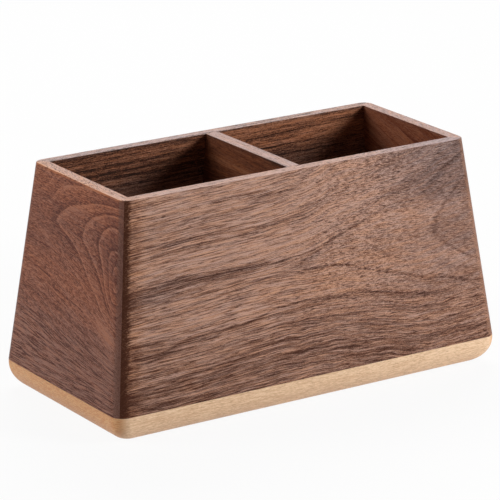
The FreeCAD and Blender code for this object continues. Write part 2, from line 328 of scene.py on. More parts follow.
def noise(tree, x, y, z, detail=2.0, roughness=0.5):
    """Smooth noise about a half, with features about one unit long."""
    node = tree.nodes.new("ShaderNodeTexNoise")
    feed(tree, vector(tree, x, y, z), node.inputs["Vector"])
    node.inputs["Scale"].default_value = 1.0
    node.inputs["Detail"].default_value = detail
    node.inputs["Roughness"].default_value = roughness
    return Wire(tree, node.outputs[0])


def mix(tree, factor, one, other):
    """Blend two colours."""
    node = tree.nodes.new("ShaderNodeMix")
    node.data_type = "RGBA"
    # For colours, the Mix node's sockets are these: factor, A and B, and the third result.
    for value, place in ((factor, 0), (one, 6), (other, 7)):
        feed(tree, value, node.inputs[place])
    return Wire(tree, node.outputs[2])


def mix_number(factor, one, other):
    """Blend two numbers, or wires of numbers."""
    return factor * (0 - one + other) + one


def new_group(name, inputs, outputs):
    """Start a node group; give its tree, its input wires by name and its output node."""
    tree = bpy.data.node_groups.new(name, "ShaderNodeTree")
    for label, kind, default in inputs:
        socket = tree.interface.new_socket(name=label, in_out="INPUT", socket_type=kind)
        if default is not None:
            socket.default_value = default
    for label, kind in outputs:
        tree.interface.new_socket(name=label, in_out="OUTPUT", socket_type=kind)
    entry = tree.nodes.new("NodeGroupInput")
    leave = tree.nodes.new("NodeGroupOutput")
    return tree, {s.name: Wire(tree, s) for s in entry.outputs if s.name}, leave


def place_group(tree, group, **values):
    """Put a node group in a tree; underscores in the names stand for spaces."""
    node = tree.nodes.new("ShaderNodeGroup")
    node.node_tree = group
    for label, value in values.items():
        feed(tree, value, node.inputs[label.replace("_", " ")])
    return {socket.name: Wire(tree, socket) for socket in node.outputs}


NUMBER, VECTOR, COLOUR = "NodeSocketFloat", "NodeSocketVector", "NodeSocketColor"


# Shared wood effects.

# One unit of warmth lifts red and lowers blue by these shares.
WARM_RED, WARM_BLUE = 0.12, 0.17


def wood_place_group():
    """Millimetres along X, Y and Z, how squarely the fibres are cut, and faces that look up."""
    name = "Wood place"
    if name in bpy.data.node_groups:
        return bpy.data.node_groups[name]
    tree, given, leave = new_group(
        name, [("Fibre", VECTOR, (1, 0, 0))],
        [("X", NUMBER), ("Y", NUMBER), ("Z", NUMBER), ("End grain", NUMBER), ("Top", NUMBER)])
    coordinates = tree.nodes.new("ShaderNodeTexCoord")
    for value, axis in zip(split(tree, Wire(tree, coordinates.outputs["Object"])), "XYZ"):
        feed(tree, value * MILLIMETRES, leave.inputs[axis])
    dot = tree.nodes.new("ShaderNodeVectorMath")
    dot.operation = "DOT_PRODUCT"
    feed(tree, Wire(tree, coordinates.outputs["Normal"]), dot.inputs[0])
    feed(tree, given["Fibre"], dot.inputs[1])
    feed(tree, abs(Wire(tree, dot.outputs["Value"])), leave.inputs["End grain"])
    upward = split(tree, Wire(tree, coordinates.outputs["Normal"]))[2]
    feed(tree, upward.rise(0.7, 0.95), leave.inputs["Top"])
    return tree


def warm(tree, tint, warmth):
    """Shift a colour towards orange, or towards mauve where the warmth is below nought."""
    apart = tree.nodes.new("ShaderNodeSeparateColor")
    joined = tree.nodes.new("ShaderNodeCombineColor")
    feed(tree, tint, apart.inputs[0])
    red, green, blue = (Wire(tree, socket) for socket in apart.outputs)
    feed(tree, red * (1 + warmth * WARM_RED), joined.inputs[0])
    feed(tree, green, joined.inputs[1])
    feed(tree, blue * (1 - warmth * WARM_BLUE), joined.inputs[2])
    return Wire(tree, joined.outputs[0])


def walnut_group():
    """Colour, roughness and relief of walnut round a given growth figure.

    Growth counts millimetres through the growth layers, Across through the fibres, Along
    down their length and Level up the board. Tone is the wood's lightness from nought to
    one, and Shade is taken from it. Stipple turns long streaks into short dashes. Streaks,
    Grain and Pores are the strengths of the streaks, the fibres and the pores.
    """
    name = "Walnut"
    if name in bpy.data.node_groups:
        return bpy.data.node_groups[name]
    tree, given, leave = new_group(
        name,
        [("Growth", NUMBER, 0.0), ("Across", NUMBER, 0.0), ("Along", NUMBER, 0.0),
         ("Level", NUMBER, 0.0), ("Depth", NUMBER, 0.0), ("Tone", NUMBER, 0.5),
         ("Warmth", NUMBER, 0.0), ("Shade", NUMBER, 0.0), ("Stipple", NUMBER, 0.0),
         ("Streaks", NUMBER, 1.0), ("Grain", NUMBER, 1.0), ("Pores", NUMBER, 0.45),
         ("End grain", NUMBER, 0.0),
         ("End share", NUMBER, 0.5), ("Pale", COLOUR, (0.5, 0.4, 0.3, 1)),
         ("Middle", COLOUR, (0.3, 0.2, 0.1, 1)), ("Deep", COLOUR, (0.1, 0.05, 0.02, 1)),
         ("Cut", COLOUR, (0.05, 0.02, 0.01, 1))],
        [("Color", COLOUR), ("Roughness", NUMBER), ("Relief", NUMBER)])
    growth, across, along = given["Growth"], given["Across"], given["Along"]
    level, depth = given["Level"], given["Depth"]
    stipple, streaks, grain = given["Stipple"], given["Streaks"], given["Grain"]
    # From broad to fine: growth bands, streaks, fibres, and the dashes, dots and pores of
    # cut vessels. Each is stretched along the fibres.
    band = noise(tree, along / 90, growth / 4, depth / 8, 1.0).spread()
    streak = noise(tree, along / 34, across / 0.8, depth / 1.6, 2.0, 0.6).spread()
    line = noise(tree, along / 10, across / 0.3, depth / 0.6, 2.0, 0.7).spread()
    dash = noise(tree, along / 2.2, level / 0.34, depth / 0.6, 2.0, 0.7).spread()
    dot = noise(tree, along / 0.7, level / 0.34, depth / 0.5, 2.0, 0.75).spread()
    hue = noise(tree, along / 12, across / 0.8, depth / 3, 2.0, 0.6).spread()
    pores = noise(tree, along / 4, level / 0.36, depth / 0.6, 1.5, 0.6).rise(0.43, 0.31)
    value = (given["Tone"] + 0.04 + band * (0.18 - stipple * 0.08)
             + streak * streaks * (1 - stipple) * 0.42
             + line * grain * (1 - stipple) * 0.66 + dash * grain * stipple * 0.75
             + (dot + 0.1) * grain * (stipple * 0.2 + 0.25)
             - pores * given["Pores"] - given["Shade"])
    # The lower half of the value runs from deep to middle, the upper half on to pale.
    body = mix(tree, (value * 2).clamped(), given["Deep"], given["Middle"])
    body = mix(tree, (value * 2 - 1).clamped(), body, given["Pale"])
    body = warm(tree, body, given["Warmth"] + hue * 1.1)
    # Where the fibres are cut across, the wood turns to its end colour in ragged dashes.
    end = given["End grain"]
    cut = (end + (dash + dot) * 0.2).rise(0.10, 0.46) * end.rise(0.0, 0.06)
    cut = cut * given["End share"] * (0.86 + (dash + dot) * 0.45)
    body = mix(tree, cut.clamped(), body, given["Cut"])
    feed(tree, body, leave.inputs["Color"])
    feed(tree, 0.46 - value * 0.08 + pores * 0.1, leave.inputs["Roughness"])
    feed(tree, value * 0.4 - pores * 0.6, leave.inputs["Relief"])
    return tree


def new_material(name):
    """Start a material; give it, its tree and its Principled BSDF."""
    material = bpy.data.materials.new(name)
    material.use_nodes = True
    tree = material.node_tree
    return material, tree, tree.nodes["Principled BSDF"]


def bump(tree, shader, height, strength):
    """Press the relief of wood's fibres into a shader's normal."""
    node = tree.nodes.new("ShaderNodeBump")
    node.inputs["Strength"].default_value = strength
    node.inputs["Distance"].default_value = FIBRE_RELIEF
    feed(tree, height, node.inputs["Height"])
    feed(tree, Wire(tree, node.outputs[0]), shader.inputs["Normal"])


# Lightness of the rims under a painted sheen, the share of their figure's shade that the
# sheen hides, and the millimetres between two boards' places in the noise.
RIM_SHEEN_TONE, RIM_SHEEN_CALM, BOARD_APART = 0.64, 0.6, 50
# Oiled wood has hardly any gloss. The relief of wood's fibres in metres.
WOOD_GLOSS, FIBRE_RELIEF = 0.1, 0.0001


def walnut_material(name, figure, fibre, colours, seed, ends):
    """A walnut board's material; figure draws its growth from the board's place.

    The ends give how much of the board's colour is lost where its fibres are cut across,
    and the colour there, at the lower and at the upper end along them.
    """
    material, tree, shader = new_material(name)
    place = place_group(tree, wood_place_group(), Fibre=fibre)
    drawn = figure(tree, place["X"], place["Y"], place["Z"])
    along = place["X"] if fibre[0] else place["Y"]
    for label, value in (("Along", along), ("Across", drawn["Growth"]), ("Level", place["Z"])):
        drawn.setdefault(label, value)
    # Faces that look up, the rims, take paler, greyer colours and less shade: a painted sheen.
    top = place["Top"]
    drawn["Depth"] = drawn["Depth"] + seed * BOARD_APART
    drawn["Tone"] = mix_number(top, drawn["Tone"], RIM_SHEEN_TONE)
    drawn["Shade"] = drawn["Shade"] * (1 - top * RIM_SHEEN_CALM)
    side = along.rise(-10.0, 10.0)
    (low_share, low_colour), (high_share, high_colour) = ends
    pale, middle, deep, rim_sheen_pale, rim_sheen_middle = colours
    wood = place_group(tree, walnut_group(), End_grain=place["End grain"],
                       End_share=side * (high_share - low_share) + low_share,
                       Pale=mix(tree, top, pale, rim_sheen_pale),
                       Middle=mix(tree, top, middle, rim_sheen_middle), Deep=deep,
                       Cut=mix(tree, side, low_colour, high_colour), **drawn)
    feed(tree, wood["Color"], shader.inputs["Base Color"])
    feed(tree, wood["Roughness"], shader.inputs["Roughness"])
    shader.inputs["Specular IOR Level"].default_value = WOOD_GLOSS
    bump(tree, shader, wood["Relief"], 0.3)
    return material


# Figures of the boards. Each takes places on the stand in millimetres and gives the values
# that the walnut group takes.

# Half the foot's length and depth, how far the walls lean in for each unit up, the height
# of their foot, and the heights between which a wall's face gives way to its rim.
HALF_LENGTH, HALF_DEPTH = 107.0, 53.25
LEAN = math.tan(math.radians(7))
FOOT = 14.0
RIM = 110.5, 111.5


def inward(from_foot, z):
    """Distance in from a leaning wall's outer face, from that to the foot's edge."""
    return from_foot - (z - FOOT) * LEAN


def strokes(tree, along, level, drawn):
    """Add up dark streaks: place and height of both ends, half width and darkness of each."""
    total = None
    for start, low, end, high, width, darkness in drawn:
        run = end - start
        line = along * ((high - low) / run) + (low - start * (high - low) / run)
        taper = along.rise(start, start + run * 0.3) * along.rise(end, end - run * 0.3)
        stroke = abs(level - line).rise(width * 1.7, 0.0) * taper * darkness
        total = stroke if total is None else total + stroke
    return total


# The front board. First its lines: place along the board and height, in millimetres.
UPPER_ARM = ((-107, 62.5), (-60, 65.5), (-11, 68), (0, 70.3), (9, 73.3), (17, 77.5), (25, 80),
             (34, 82.5), (46, 86.5), (60, 90), (70, 93.5), (79, 99), (92, 106), (107, 114))
LOWER_ARM = ((-107, 62.5), (-60, 65.5), (-11, 68), (0, 64.8), (17, 64), (27, 61.2), (37, 58.3),
             (50, 54.7), (62, 50.7), (80, 46.8), (93, 43.4), (107, 42))
LONG_DRIFT = ((-107, 40.5), (-70, 43), (-30, 47.5), (0, 50), (30, 48.5), (64, 42.5),
              (107, 39.5))
LONG_LINE = ((-107, 39.8), (-99, 40), (-82, 40.6), (-72, 43), (-50, 45.2), (-38, 45.7),
             (-25, 48), (-19, 49.8), (-7, 50.4), (10, 49.8), (25, 49.5), (38, 47.4),
             (50, 45.2), (65, 42.5), (80, 40.5), (107, 38.5))
# Along the board: how dark the long line is, how far the core rises, and how closely the
# fibres lie between the arms and the drift.
LONG_DARK = ((-107, 0.36), (-70, 0.42), (-30, 0.42), (-15, 0.5), (5, 0.5), (20, 0.3),
             (42, 0.42), (60, 0.3), (78, 0.1), (107, 0.05))
CORE_RISE = ((-107, 0), (-11, 0), (20, 4), (50, 7), (73.5, 10), (83, 12.3), (93, 16.4),
             (107, 24))
BETWEEN_SCALE = ((-107, 1.5), (-11, 1.1), (47, 0.6), (93, 0.35), (107, 0.3))
# Along the board: the height and the width of the dark patch at the left.
PATCH_LINE = ((-107, 65.5), (-95, 66.5), (-60, 70), (-30, 71), (-7, 71.5), (107, 71.5))
PATCH_WIDTH = ((-107, 5.5), (-92, 5.5), (-62, 3.8), (-50, 2.2), (-7, 1.4), (107, 1.2))
# Lightness by height.
FRONT_TONE = ((14, 0.32), (22, 0.40), (30, 0.46), (38, 0.49), (44, 0.52), (50, 0.60),
              (58, 0.68), (65, 0.61), (72, 0.61), (80, 0.72), (84, 0.68), (90, 0.58),
              (96, 0.66), (104, 0.68), (112, 0.62))
# Single streaks, as strokes takes them.
FRONT_STREAKS = (
    (-98, 98.4, -44, 99.9, 0.6, 0.26), (-98, 93.0, -44, 95.4, 0.6, 0.28),
    (-99, 89.2, -40, 90.4, 1.5, 0.20), (-58, 90.9, -14, 91.8, 0.6, 0.30),
    (-68, 84.4, -34, 86.8, 0.45, 0.22), (-46, 86.3, 10, 87.7, 0.45, 0.30),
    (-62, 71.0, -14, 71.3, 0.5, 0.30), (-62, 69.0, -20, 70.0, 0.4, 0.26),
    (-54, 34.4, -22, 37.9, 0.6, 0.34), (-24, 38.8, 34, 39.8, 0.5, 0.26),
    (-46, 29.4, -24, 31.1, 0.5, 0.30), (-104, 25.2, -48, 29.6, 0.5, 0.26),
    (-18, 27.3, -4, 27.8, 0.6, 0.36), (-4, 28.8, 34, 28.4, 0.6, 0.28),
    (-78, 20.4, -30, 22.5, 0.6, 0.30), (17, 20.4, 30, 19.0, 0.7, 0.34),
    (-92, 17.2, -64, 17.8, 1.1, 0.22), (-26, 102.9, -12, 103.8, 0.5, 0.30),
    (-68, 104.3, -26, 105.8, 0.5, 0.24), (8, 24.6, 50, 24.4, 0.6, 0.24))


def front_figure(tree, x, y, z):
    """Straight bands at the left that open into a pointed figure towards the right.

    It holds nearly as many values as Cycles can keep at once for a material. A few more
    turn the board black, with no warning.
    """
    depth = inward(y + HALF_DEPTH, z)
    left_gap = inward(x + HALF_LENGTH, z)
    # The figure runs on into the wood at a slant, so that it goes round the rim and ends.
    x = x - depth * 0.65
    waves = x.rise(-30.0, 10.0) * z.rise(52.0, 38.0)
    wander = ((noise(tree, x / 40, z / 14, depth / 20, 1.0) - 0.5) * 1.4
              + (noise(tree, x / 8, z / 5, depth / 9, 1.0) - 0.5) * (waves * 1.6 + 0.3))
    level = z + depth * 0.8 + wander
    # Places above, between and below the two arms, and inside the figure's core.
    upper, lower, long_line = x.curve(UPPER_ARM), x.curve(LOWER_ARM), x.curve(LONG_LINE)
    above = (level - upper).at_least(0.0)
    drift = x.curve(LONG_DRIFT)
    between = ((lower - level) / (lower - drift)).clamped() * 15
    below = (drift - level).at_least(0.0)
    middle, half = (upper + lower) * 0.5, ((upper - lower) * 0.5).at_least(0.4)
    off = (level - middle) / half
    inside = (1 - off * off).at_least(0.0)
    core = x.curve(CORE_RISE) * inside
    # Dark lines: the arms, the long line, the arc in the core, patches, ripple and corner.
    opened = x.rise(-20.0, 12.0)
    arms = (above + between - core).bell(0.0, 0.75) * opened
    breaks = noise(tree, x / 4, level / 1.2, depth / 3, 2.0, 0.6).rise(0.3, 0.6)
    long_dark = abs(level - long_line).rise(1.1, 0.0) * x.curve(LONG_DARK)
    long_soft = (level - long_line).bell(-1.4, 1.4) * 0.1
    inner_arc = core.bell(10.0, 0.4) * x.rise(62.0, 72.0)
    patch = (level - x.curve(PATCH_LINE)) / x.curve(PATCH_WIDTH)
    patch_dark = (-(patch * patch)).maths("EXPONENT") * x.rise(0.0, -14.0)
    ripple = x.bell(-21.0, 2.2) * z.rise(41.0, 34.0)
    corner = x.rise(24.0, 66.0) * z.rise(80.0, 98.0)
    low_left = x.rise(0.0, -60.0) * z.rise(44.0, 26.0)
    beyond = core.rise(9.0, 11.0) * x.rise(66.0, 76.0)
    dark_band = (level - x * 0.75).bell(39.5, 3.0) * x.rise(62.0, 74.0) * z.rise(88.0, 94.0)
    arms = arms * (1 - (level - middle).rise(0.0, 6.0) * x.rise(16.0, 50.0) * 0.45)
    # Near the left corner (left_gap) the face is darker and warmer: painted shade in the corner
    # between the lamps.
    shade = ((arms * 0.44 + inner_arc * 0.26) * (breaks * 0.6 + 0.4) + long_dark + long_soft
             + patch_dark * 0.26 + ripple * 0.1 + corner * 0.2 + beyond * 0.1 + dark_band * 0.1
             + low_left * 0.05 + x.rise(20.0, 80.0) * z.rise(30.0, 54.0) * 0.08
             + strokes(tree, x, level, FRONT_STREAKS) * (breaks * 0.3 + 0.7)
             + left_gap.rise(14.0, 5.5) * (breaks * 0.2 + 0.12))
    # What the fibres, the ground colour and the fine grain follow.
    across = (above - between * x.curve(BETWEEN_SCALE) - below
              + off.at_most(1.0).at_least(-1.0) * half * 0.5)
    flat = level - (upper - 68) * (level - upper).rise(-4.0, 4.0)
    high = z.rise(32.0, 56.0)
    rightward = x.rise(-40.0, 10.0)
    stipple = x.rise(-30.0, 30.0) * (high * 0.55 + 0.3) + x.rise(50.0, 80.0) * 0.1
    tip = opened * x.rise(14.0, 0.0) * inside
    warmth = (x.rise(60.0, 84.0) * z.rise(30.0, 60.0) * -0.5 - corner * 0.9 + tip * -0.7
              + patch_dark * -0.35 + x.bell(10.0, 34.0) * z.bell(58.0, 9.0) * 0.4
              + left_gap.rise(15.0, 6.0) * 0.8)
    return {"Growth": above * 0.7 + between + below - core
                      + (level - middle).rise(-3.0, 3.0) * 40,
            "Across": across, "Depth": depth, "Tone": flat.curve(FRONT_TONE) + tip * 0.1,
            "Warmth": warmth, "Shade": shade, "Stipple": stipple,
            "Streaks": 1 + rightward * (0.6 - high * inside * opened),
            "Grain": 1.25 + rightward * 0.1 - x.rise(30.0, 76.0) * high * 0.6,
            "Pores": 0.5 + rightward * 0.15 - x.rise(40.0, 76.0) * high * 0.25}


# The left end board: its knot's place, and then lines by distance from the knot and
# height, in millimetres. The axis runs from the knot to the back, and rings cross it.
KNOT_PLACE = -41.0
KNOT_AXIS = ((-13, 75), (0, 75.6), (4, 79), (8, 84.5), (17.5, 90), (32, 88.5), (56.5, 90),
             (75, 93), (95, 95.5))
# How many rings lie between the knot and a place on the axis.
RING_NUMBER = ((-13, 4.5), (-8, 3.2), (-6, 2), (-3.3, 1), (0, 0), (3.3, 1), (8, 2), (17.5, 3),
               (32, 4), (56.5, 5), (95, 5.8))
# Each ring's number, its line over the axis and its line under it.
RINGS = (
    (2, ((-7, 76), (-5, 84), (-2, 87.6), (2, 88.8), (5, 88.3), (7, 86.8)) + KNOT_AXIS[3:],
     ((-7, 74), (-5, 68), (-2, 65), (1, 65.2), (3, 67.2), (4.5, 70), (6, 75), (7.2, 80.5))
     + KNOT_AXIS[3:]),
    (3, ((-9, 78), (-6, 88), (-3, 94.5), (0, 97.6), (4, 98.9), (8, 98.4), (12, 96.4),
         (15.5, 93.6)) + KNOT_AXIS[4:],
     ((-9, 70), (-6, 62), (-2, 60), (2, 61.6), (6, 65.4), (9, 70), (11, 75), (13, 79.8),
      (15.5, 83.6), (17, 87)) + KNOT_AXIS[4:]),
    (4, ((-13, 100), (-6, 103.2), (0, 104.3), (7, 104), (13, 102.9), (19, 101.1), (24, 98.9),
         (28, 96), (31, 92.4)) + KNOT_AXIS[5:],
     ((-13, 54), (-6, 55.5), (0, 58), (4, 61), (8, 65.6), (12, 70.6), (16, 75), (19, 77.6),
      (24, 81.7), (28, 84.9), (31, 87)) + KNOT_AXIS[5:]),
    (5, ((-13, 110), (0, 108.4), (9, 107.6), (20, 106.3), (31, 103.2), (42, 100.4), (51, 95.6),
         (55, 92.8)) + KNOT_AXIS[6:],
     ((-13, 50), (0, 53.5), (8, 57), (16, 64), (24, 70.5), (31, 77.5), (41, 83.8), (51, 87.7))
     + KNOT_AXIS[6:]))
# The next ring over them, and the arcs that sweep past below.
RING_BEYOND = ((-13, 114), (0, 113.5), (25, 112), (43, 109.5), (54, 106.3), (59, 103),
               (62, 100.4), (70, 98.5), (80, 97.3), (95, 96.5))
ARC_HIGH = ((-13, 46.5), (-4, 49), (8, 53.5), (20, 60.5), (31, 67.4), (41, 72), (51, 74.9),
            (61, 76.3), (87, 75))
ARC_MIDDLE = ((-13, 43), (-4, 45.5), (8, 49.5), (27.6, 54.9), (39.7, 57.7), (48.3, 59.9),
              (60, 62.9), (75, 65.2), (95, 67))
ARC_LOW = ((-13, 37.5), (-8, 38.5), (1, 40.2), (11, 42.3), (20.4, 45.7), (30, 47.8),
           (41, 50.2), (61, 52), (95, 52))
# Lightness and warmth by height.
LEFT_TONE = ((14, 0.50), (24, 0.60), (34, 0.60), (44, 0.52), (56, 0.52), (66, 0.57),
             (74, 0.47), (84, 0.38), (96, 0.42), (106, 0.52), (112, 0.54))
LEFT_WARMTH = ((14, -1.0), (30, -0.9), (40, -0.8), (48, -0.4), (58, 0.1), (66, 0.4),
               (74, 0.1), (84, -0.1), (96, 0.1), (106, 0.6), (112, 0.6))
# Single streaks, as strokes takes them.
LEFT_STREAKS = (
    (-20, 69.4, 6, 71.6, 0.4, 0.46), (0, 71.6, 46, 67.0, 0.4, 0.38),
    (-6, 56.8, 48, 56.0, 0.45, 0.46), (-26, 57.4, 24, 52.4, 0.4, 0.54),
    (-4, 52.4, 48, 50.4, 0.5, 0.36), (14, 59.0, 50, 57.6, 0.6, 0.26),
    (-36, 49.2, 46, 44.0, 1.0, 0.26), (-50, 46.8, -8, 46.4, 0.6, 0.28),
    (-46, 44.2, 46, 38.6, 0.5, 0.26), (-46, 37.2, 44, 34.2, 0.6, 0.22),
    (-40, 32.6, 30, 31.0, 0.5, 0.20))


def left_figure(tree, x, y, z):
    """Rings that run out from a knot near the front edge, over sweeping lower arcs."""
    depth = inward(x + HALF_LENGTH, z)
    wander = (noise(tree, y / 16, z / 9, depth / 20, 1.0) - 0.5) * 0.8
    level = z + depth * 0.5 + wander
    # The knot runs on into the wood at a slant.
    off = y - KNOT_PLACE - depth * 1.55
    # Count the rings: first along the knot's axis, then over and under it.
    number = off.curve(RING_NUMBER)
    rings, last = number, 0
    inner_over = inner_under = off.curve(KNOT_AXIS)
    for ring, over_line, under_line in RINGS:
        over, under = off.curve(over_line), off.curve(under_line)
        steps = (ring - number.at_least(float(last))).at_least(0.0)
        up = ((level - inner_over) / (over - inner_over).at_least(0.2)).clamped()
        down = ((inner_under - level) / (inner_under - under).at_least(0.2)).clamped()
        rings = rings + steps * (up + down)
        inner_over, inner_under, last = over, under, ring
    beyond, high, middle, low = (
        off.curve(line) for line in (RING_BEYOND, ARC_HIGH, ARC_MIDDLE, ARC_LOW))
    sweep = level - (middle - 56) * level.rise(14.0, 50.0) * level.rise(108.0, 70.0)
    rings = (rings + ((level - over) / (beyond - over)).at_least(0.0)
             + ((under - level) / (under - high)).clamped()
             + ((high - level) / (high - middle)).clamped()
             + ((middle - level) / (middle - low)).clamped()
             + ((low - level) / 6).at_least(0.0))
    # Each ring is pale at its inner edge and dark at its outer one, clearest at the knot.
    part = rings - rings.maths("FLOOR")
    clear = level.rise(42.0, 58.0) * off.rise(74.0, 40.0) * 0.75 + 0.25
    clear = clear * (1 - rings.rise(5.0, 5.8) * level.rise(84.0, 78.0) * 0.6)
    edge = (part.bell(0.94, 0.08) * 0.42 - part.bell(0.1, 0.16) * 0.32
            + (part - 0.5) * 0.14) * clear
    heart = rings.bell(0.9, 0.12) * 0.14 + rings.bell(0.5, 0.1) * 0.18
    ribbon = (sweep + y * 0.09).bell(54.2, 1.6) * 0.17
    mitre_gap = y + HALF_DEPTH - x - HALF_LENGTH
    flame = (level - off * 0.4).bell(47.5, 3.2) * off.bell(4.0, 9.0)
    smudge = off.bell(56.0, 8.0) * level.bell(96.0, 3.4)
    near = off.rise(30.0, 4.0) * level.rise(56.0, 64.0)
    # A thin strip along the rim's outer edge is paler and warmer: a painted highlight.
    painted_arris_highlight = z.rise(110.9, 111.5) * depth.rise(1.3, 0.7)
    # Next to the mitre, more so lower down, the rounding is darker: painted shade in the
    # corner.
    shade = (strokes(tree, y, sweep, LEFT_STREAKS) - edge - heart - ribbon - flame * 0.7
             + smudge * 0.14 + near * 0.12 - painted_arris_highlight * 0.4
             + mitre_gap.rise(2.6, 0.6) * z.rise(104.0, 78.0) * 0.4)
    upper = level.rise(34.0, 52.0)
    return {"Growth": rings * 7, "Across": sweep, "Level": sweep, "Depth": depth,
            "Tone": level.curve(LEFT_TONE),
            "Warmth": level.curve(LEFT_WARMTH) + flame * 0.6 + painted_arris_highlight, "Shade": shade,
            "Stipple": upper * 0.5 + 0.15, "Streaks": 1.2 - upper * 0.5,
            "Grain": (4.1 - upper * 1.7) * (1 - near * 0.35),
            "Pores": 0.5 - upper * 0.15}


# The back board's single streaks.
BACK_STREAKS = (
    (-100, 103.2, -10, 104.6, 0.6, 0.45), (-100, 99.6, -14, 101.4, 0.6, 0.45),
    (-100, 96.4, -20, 98.2, 0.8, 0.40), (-84, 107.6, -30, 108.6, 0.5, 0.2),
    (-2, 107.0, 96, 109.0, 0.4, 0.25), (-2, 104.2, 92, 106.6, 0.5, 0.4),
    (2, 101.6, 84, 103.4, 0.4, 0.25), (-2, 98.4, 80, 99.6, 0.6, 0.4),
    (-100, 93.0, 96, 95.0, 0.9, 0.35))


def back_figure(tree, x, y, z):
    """Level stripes with dark lines, warmer and paler towards the right."""
    depth = inward(HALF_DEPTH - y, z)
    wander = (noise(tree, x / 40, z / 14, depth / 20) - 0.5) * 1.6
    level = z - x * 0.012 + wander
    right = x.rise(-20.0, 20.0)
    lines = noise(tree, x / 120, level / 2.4, depth / 12).rise(0.54, 0.66)
    rim, inner = z.rise(*RIM), depth.rise(2.0, 4.5)
    # Low on the inside the tone is lifted at the left, lowered at the right and greyed: painted
    # light and shade in the compartments. On the rim the colour is greyed and darkened a
    # little: painted sheen.
    return {"Growth": level, "Depth": depth,
            "Tone": (right * 0.25 + 0.34 + z.rise(94.0, 78.0) * 0.26
                     + (0.5 - right) * z.rise(101.0, 95.0) * inner * 0.3),
            "Warmth": (right * 0.3 + 0.1 - z.rise(102.0, 90.0) * (inner * 1.1 + 0.4)
                       - rim * 0.9),
            "Shade": lines * 0.32 + strokes(tree, x, z + wander, BACK_STREAKS) + rim * 0.25,
            "Stipple": 0.35, "Streaks": 1.3, "Grain": 1.9}


def end_figure(tilt, bend, tone, warmth, ribbon=0.0):
    """Make the figure of a plain short board: sloping streaks and a paler level ribbon."""

    def figure(tree, x, y, z):
        wander = (noise(tree, y / 45, z / 16, x / 30) - 0.5) * bend
        growth = z - y * tilt + x * 0.7 + wander
        lines = noise(tree, y / 90, growth / 3.2, x / 12).rise(0.56, 0.68)
        return {"Growth": growth, "Depth": x, "Tone": tone,
                # Greyer on the rim: painted sheen.
                "Warmth": warmth - z.rise(*RIM) * 0.9,
                "Shade": lines * 0.3 - (z + wander).bell(101.6, 1.9) * ribbon,
                "Stipple": 0.4, "Streaks": 0.8}

    return figure


# Meshes.

# Points nearer than WELD, in metres, are one; edges that turn by more than SHARP stay sharp.
WELD = 1e-7
SHARP = math.radians(32)
# Faces round a corner, the rim's outer and inner edge, the base's rounding and a screw.
CORNER_STEPS, RIM_STEPS, INNER_STEPS, BASE_STEPS, TURNED_STEPS = 10, 7, 5, 14, 48
# Metres by which a cutter reaches past the wood, so that no skin is left.
PAST = 0.001


def to_object(name, shape):
    """Turn a bmesh into an object of the scene."""
    mesh = bpy.data.meshes.new(name)
    shape.to_mesh(mesh)
    shape.free()
    made = bpy.data.objects.new(name, mesh)
    bpy.context.scene.collection.objects.link(made)
    return made


def leaning(sizes):
    """How far the walls lean in for each unit up, and their thickness measured level."""
    return math.tan(sizes.splay), sizes.wall / math.cos(sizes.splay)


def drop(piece):
    """Delete an object and its mesh."""
    mesh = piece.data
    bpy.data.objects.remove(piece)
    bpy.data.meshes.remove(mesh)


def clean(shape):
    """Weld what meets, drop what has no area and turn every face outwards."""
    bmesh.ops.remove_doubles(shape, verts=shape.verts, dist=WELD)
    bmesh.ops.dissolve_degenerate(shape, edges=shape.edges, dist=WELD)
    bmesh.ops.recalc_face_normals(shape, faces=shape.faces)


def stitch(rows):
    """Join closed rows of points to a solid: faces from row to row, and a cap at both ends."""
    shape = bmesh.new()
    grid = [[shape.verts.new(point) for point in row] for row in rows]
    for near, far in zip(grid, grid[1:]):
        for i in range(len(near)):
            j = (i + 1) % len(near)
            shape.faces.new((near[i], near[j], far[j], far[i]))
    shape.faces.new(grid[0])
    shape.faces.new(reversed(grid[-1]))
    clean(shape)
    return shape


def angles(start, end, steps):
    """Angles in radians from one to another in equal steps, with both ends."""
    return [start + (end - start) * step / steps for step in range(steps + 1)]


def turned(profile, centre):
    """A solid turned about an upright axis from a profile of radius and height."""
    turns = angles(0, 2 * math.pi, TURNED_STEPS)[:-1]
    return stitch([[(centre[0] + radius * math.cos(turn),
                     centre[1] + radius * math.sin(turn), height) for turn in turns]
                   for radius, height in profile])


def slab(section, middle, half):
    """A slab across the stand, over a section of depth and height."""
    return stitch([[(x, y, z) for y, z in section] for x in (middle - half, middle + half)])


def cut(piece, cutters):
    """Take cutters away from a piece and drop them."""
    for cutter in cutters:
        modifier = piece.modifiers.new("cut", "BOOLEAN")
        modifier.operation, modifier.solver, modifier.object = "DIFFERENCE", "EXACT", cutter
    graph = bpy.context.evaluated_depsgraph_get()
    mesh = bpy.data.meshes.new_from_object(piece.evaluated_get(graph))
    piece.modifiers.clear()
    old, piece.data = piece.data, mesh
    bpy.data.meshes.remove(old)
    mesh.name = piece.name
    for cutter in cutters:
        drop(cutter)


def finish_piece(piece, material, node):
    """Smooth a piece, give it its material and tie it to the frame."""
    mesh = piece.data
    mesh.polygons.foreach_set("use_smooth", [True] * len(mesh.polygons))
    mesh.set_sharp_from_angle(angle=SHARP)
    piece.modifiers.new("even shading", "WEIGHTED_NORMAL").keep_sharp = True
    mesh.materials.clear()
    mesh.materials.append(material)
    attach(piece, BODY)
    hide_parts(node)


